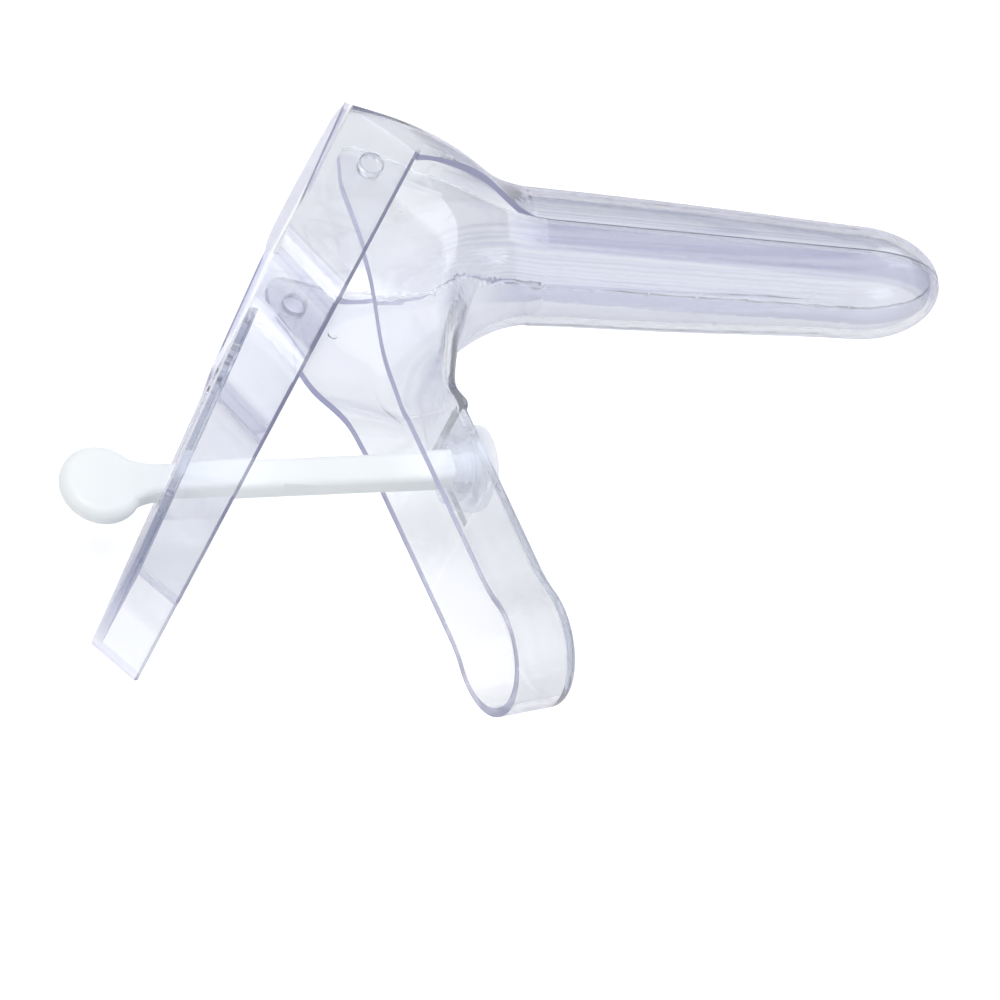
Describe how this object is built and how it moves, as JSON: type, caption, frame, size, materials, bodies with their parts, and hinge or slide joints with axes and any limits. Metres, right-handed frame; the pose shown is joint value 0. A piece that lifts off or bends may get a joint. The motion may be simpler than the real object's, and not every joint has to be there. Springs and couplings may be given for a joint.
{
  "type": "bivalve speculum",
  "caption": "Disposable clear plastic bivalve speculum with a squeeze lever, a hollow handle and a white turning spindle that locks the opening.",
  "frame": {"origin": "on the table under the middle of the part, which lies on its side with the blades closed", "axes": "+X forward along the blades to their tips, +Y up in use (the handle and lever point to -Y), +Z across the width, upwards as it lies"},
  "size_m": [0.197, 0.1286, 0.0566],
  "materials": {
    "clear_upper": "clear moulded polystyrene, polished, faint violet edges",
    "clear_lower": "clear moulded polystyrene, polished, faint violet edges",
    "spindle_white": "milky white moulded plastic, satin"
  },
  "bodies": {
    "lower_body": {"lower_blade": "clear_lower"},
    "upper_body": {"upper_blade": "clear_upper"},
    "spindle_body": {"locking_spindle": "spindle_white"}
  },
  "joints": [
    {"name": "blade_hinge", "type": "hinge", "parent": "lower_body", "child": "upper_body", "pos_m": [-0.03279, 0.04866, 0.0283], "axis": [0, 0, 1], "range_deg": [0, 30]},
    {"name": "spindle_turn", "type": "hinge", "parent": "lower_body", "child": "spindle_body", "pos_m": [-0.00939, -0.00614, 0.0283], "axis": [0.9885, 0.1513, 0], "range_deg": [0, 90]}
  ]
}
